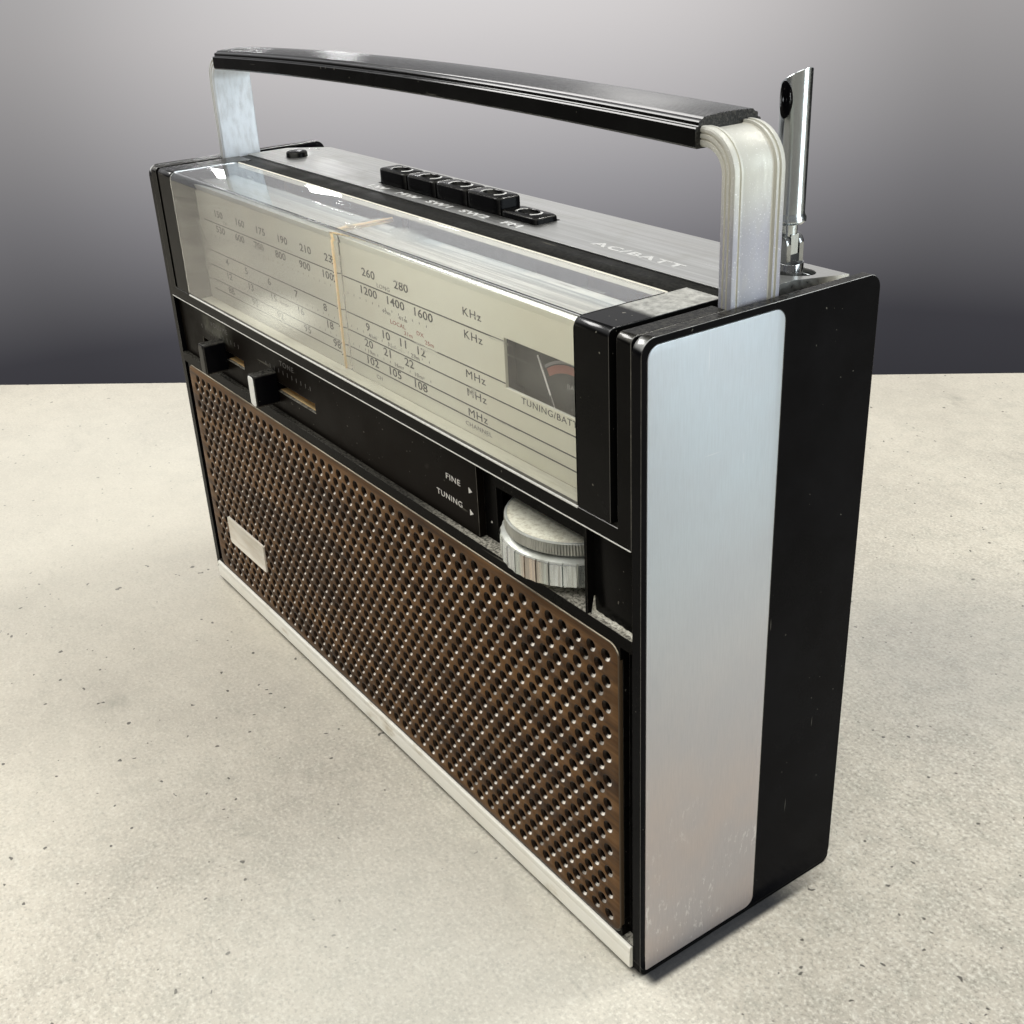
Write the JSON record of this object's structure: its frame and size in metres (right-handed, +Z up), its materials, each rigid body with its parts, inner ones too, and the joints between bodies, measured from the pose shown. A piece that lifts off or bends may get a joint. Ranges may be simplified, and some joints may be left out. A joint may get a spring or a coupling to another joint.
{
  "type": "portable shortwave radio",
  "caption": "Portable multi-band receiver in a slim upright case: lit slide-rule dial, thumbwheel tuning, slider controls, push-button bands, folding handle and whip antenna.",
  "frame": {"origin": "middle of the underside, on the plane that the case stands on, halfway between front and back", "axes": "+X to the listener's right along the case, +Y to the back, +Z up"},
  "size_m": [0.3, 0.0846, 0.2335],
  "materials": {
    "black_gloss": "moulded, glossy",
    "black_satin": "moulded, satin",
    "black_grain": "grained",
    "wood_clad": "wood grain on perforated sheet",
    "side_metal": "brushed sheet",
    "deck_metal": "brushed sheet",
    "trim_metal": "polished strip",
    "arm_metal": "cast and polished",
    "chrome": "bright plated",
    "steel": "plain",
    "clear": "clear acrylic",
    "dial_print": "printed sheet",
    "pointer_plastic": "translucent",
    "cream_plastic": "cream moulding",
    "amber_board": "resin board",
    "board": "phenolic board",
    "tin": "tinned cans",
    "paper_cone": "pressed pulp",
    "ferrite": "sintered",
    "cord": "braided",
    "cell": "printed jacket",
    "core": "laminated"
  },
  "bodies": {
    "cabinet": {"front_cabinet": "black_satin", "rear_cover": "black_grain", "end_panel_left": "black_gloss", "end_panel_right": "black_gloss", "side_plate_left": "side_metal", "side_plate_right": "side_metal", "dial_bezel": "black_gloss", "pillar_left": "black_gloss", "pillar_right": "black_gloss", "dial_cover": "clear", "scale_plate": "dial_print", "pointer_rail": "steel", "meter_housing": "black_satin", "control_panel": "black_satin", "slide_pots": "amber_board", "wheel_bracket": "steel", "grille": "wood_clad", "nameplate": "trim_metal", "bottom_trim": "trim_metal", "deck_panel": "deck_metal", "deck_strip": "black_satin", "band_switch": "tin", "antenna_cup": "cream_plastic", "handle_pivots": "steel", "speaker_basket": "steel", "speaker_magnet": "core", "circuit_board": "board", "board_parts": "tin", "tuning_capacitor": "tin", "dial_cord": "cord", "ferrite_aerial": "ferrite", "battery_box": "black_grain", "battery_cells": "cell", "mains_transformer": "core", "mains_inlet": "black_satin", "rear_screws": "steel"},
    "handle": {"handle_grip": "black_grain", "handle_arm_left": "arm_metal", "handle_arm_right": "arm_metal"},
    "pointer": {"pointer": "pointer_plastic"},
    "meter_needle": {"meter_needle": "cream_plastic"},
    "volume_knob": {"volume_knob": "black_gloss"},
    "tone_knob": {"tone_knob": "black_gloss"},
    "tuning_wheel": {"tuning_wheel": "cream_plastic"},
    "fine_wheel": {"fine_wheel": "cream_plastic"},
    "dial_drum": {"dial_drum": "cream_plastic"},
    "band_button_1": {"band_button_1": "black_gloss"},
    "band_button_2": {"band_button_2": "black_gloss"},
    "band_button_3": {"band_button_3": "black_gloss"},
    "band_button_4": {"band_button_4": "black_gloss"},
    "band_button_5": {"band_button_5": "black_gloss"},
    "light_button": {"light_button": "black_gloss"},
    "antenna_swivel": {"antenna_swivel": "chrome"},
    "antenna_tube_1": {"antenna_tube_1": "chrome"},
    "antenna_tube_2": {"antenna_tube_2": "chrome"},
    "antenna_tube_3": {"antenna_tube_3": "chrome"},
    "antenna_tip": {"antenna_tip": "chrome"},
    "battery_door": {"battery_door": "black_grain"},
    "speaker_cone": {"speaker_cone": "paper_cone"}
  },
  "joints": [
    {"name": "handle_fold", "type": "hinge", "parent": "cabinet", "child": "handle", "pos_m": [0, -0.001, 0.172], "axis": [-1, 0, 0], "range_deg": [0, 12]},
    {"name": "tuning_turn", "type": "hinge", "parent": "cabinet", "child": "tuning_wheel", "pos_m": [0.105, -0.0215, 0.1156], "axis": [0, 0, 1], "range_deg": [-980, 810]},
    {"name": "pointer_travel", "type": "slide", "parent": "cabinet", "child": "pointer", "axis": [1, 0, 0], "range_m": [-0.104, 0.086]},
    {"name": "drum_turn", "type": "hinge", "parent": "cabinet", "child": "dial_drum", "pos_m": [0.01, -0.0025, 0.139], "axis": [0, 1, 0], "range_deg": [-245, 205]},
    {"name": "fine_turn", "type": "hinge", "parent": "cabinet", "child": "fine_wheel", "pos_m": [0.105, -0.0215, 0.1223], "axis": [0, 0, 1], "range_deg": [-150, 150]},
    {"name": "meter_swing", "type": "hinge", "parent": "cabinet", "child": "meter_needle", "pos_m": [0.1048, -0.026, 0.15], "axis": [0, 1, 0], "range_deg": [0, 54], "stiffness_Nm_per_rad": 0.0005},
    {"name": "volume_slide", "type": "slide", "parent": "cabinet", "child": "volume_knob", "axis": [1, 0, 0], "range_m": [-0.0195, 0.0161]},
    {"name": "tone_slide", "type": "slide", "parent": "cabinet", "child": "tone_knob", "axis": [1, 0, 0], "range_m": [-0.0062, 0.0294]},
    {"name": "band_press_1", "type": "slide", "parent": "cabinet", "child": "band_button_1", "axis": [0, 0, 1], "range_m": [-0.0032, 0], "stiffness_N_per_m": 300},
    {"name": "band_press_2", "type": "slide", "parent": "cabinet", "child": "band_button_2", "axis": [0, 0, 1], "range_m": [-0.0032, 0], "stiffness_N_per_m": 300},
    {"name": "band_press_3", "type": "slide", "parent": "cabinet", "child": "band_button_3", "axis": [0, 0, 1], "range_m": [-0.0032, 0], "stiffness_N_per_m": 300},
    {"name": "band_press_4", "type": "slide", "parent": "cabinet", "child": "band_button_4", "axis": [0, 0, 1], "range_m": [-0.0032, 0], "stiffness_N_per_m": 300},
    {"name": "band_press_5", "type": "slide", "parent": "cabinet", "child": "band_button_5", "axis": [0, 0, 1], "range_m": [0, 0.0032]},
    {"name": "light_press", "type": "slide", "parent": "cabinet", "child": "light_button", "axis": [0, 0, 1], "range_m": [-0.0018, 0], "stiffness_N_per_m": 300},
    {"name": "antenna_turn", "type": "hinge", "parent": "cabinet", "child": "antenna_swivel", "pos_m": [0.1305, 0.026, 0.18], "axis": [0, 0, 1], "range_deg": [-175, 175]},
    {"name": "antenna_tilt", "type": "hinge", "parent": "antenna_swivel", "child": "antenna_tube_1", "pos_m": [0.1305, 0.026, 0.192], "axis": [0, 1, 0], "range_deg": [-80, 80]},
    {"name": "antenna_pull_2", "type": "slide", "parent": "antenna_tube_1", "child": "antenna_tube_2", "axis": [0, 0, 1], "range_m": [0, 0.026]},
    {"name": "antenna_pull_3", "type": "slide", "parent": "antenna_tube_2", "child": "antenna_tube_3", "axis": [0, 0, 1], "range_m": [0, 0.026]},
    {"name": "antenna_pull_tip", "type": "slide", "parent": "antenna_tube_3", "child": "antenna_tip", "axis": [0, 0, 1], "range_m": [0, 0.026]},
    {"name": "door_open", "type": "hinge", "parent": "cabinet", "child": "battery_door", "pos_m": [0, 0.0373, 0.0045], "axis": [-1, 0, 0], "range_deg": [0, 95]},
    {"name": "cone_drive", "type": "slide", "parent": "cabinet", "child": "speaker_cone", "axis": [0, 1, 0], "range_m": [-0.001, 0.001], "stiffness_N_per_m": 1500}
  ],
  "couplings": [
    {"joint": "pointer_travel", "follows": "tuning_turn", "m_per_rad": 0.006},
    {"joint": "drum_turn", "follows": "tuning_turn", "ratio": 0.24291}
  ]
}
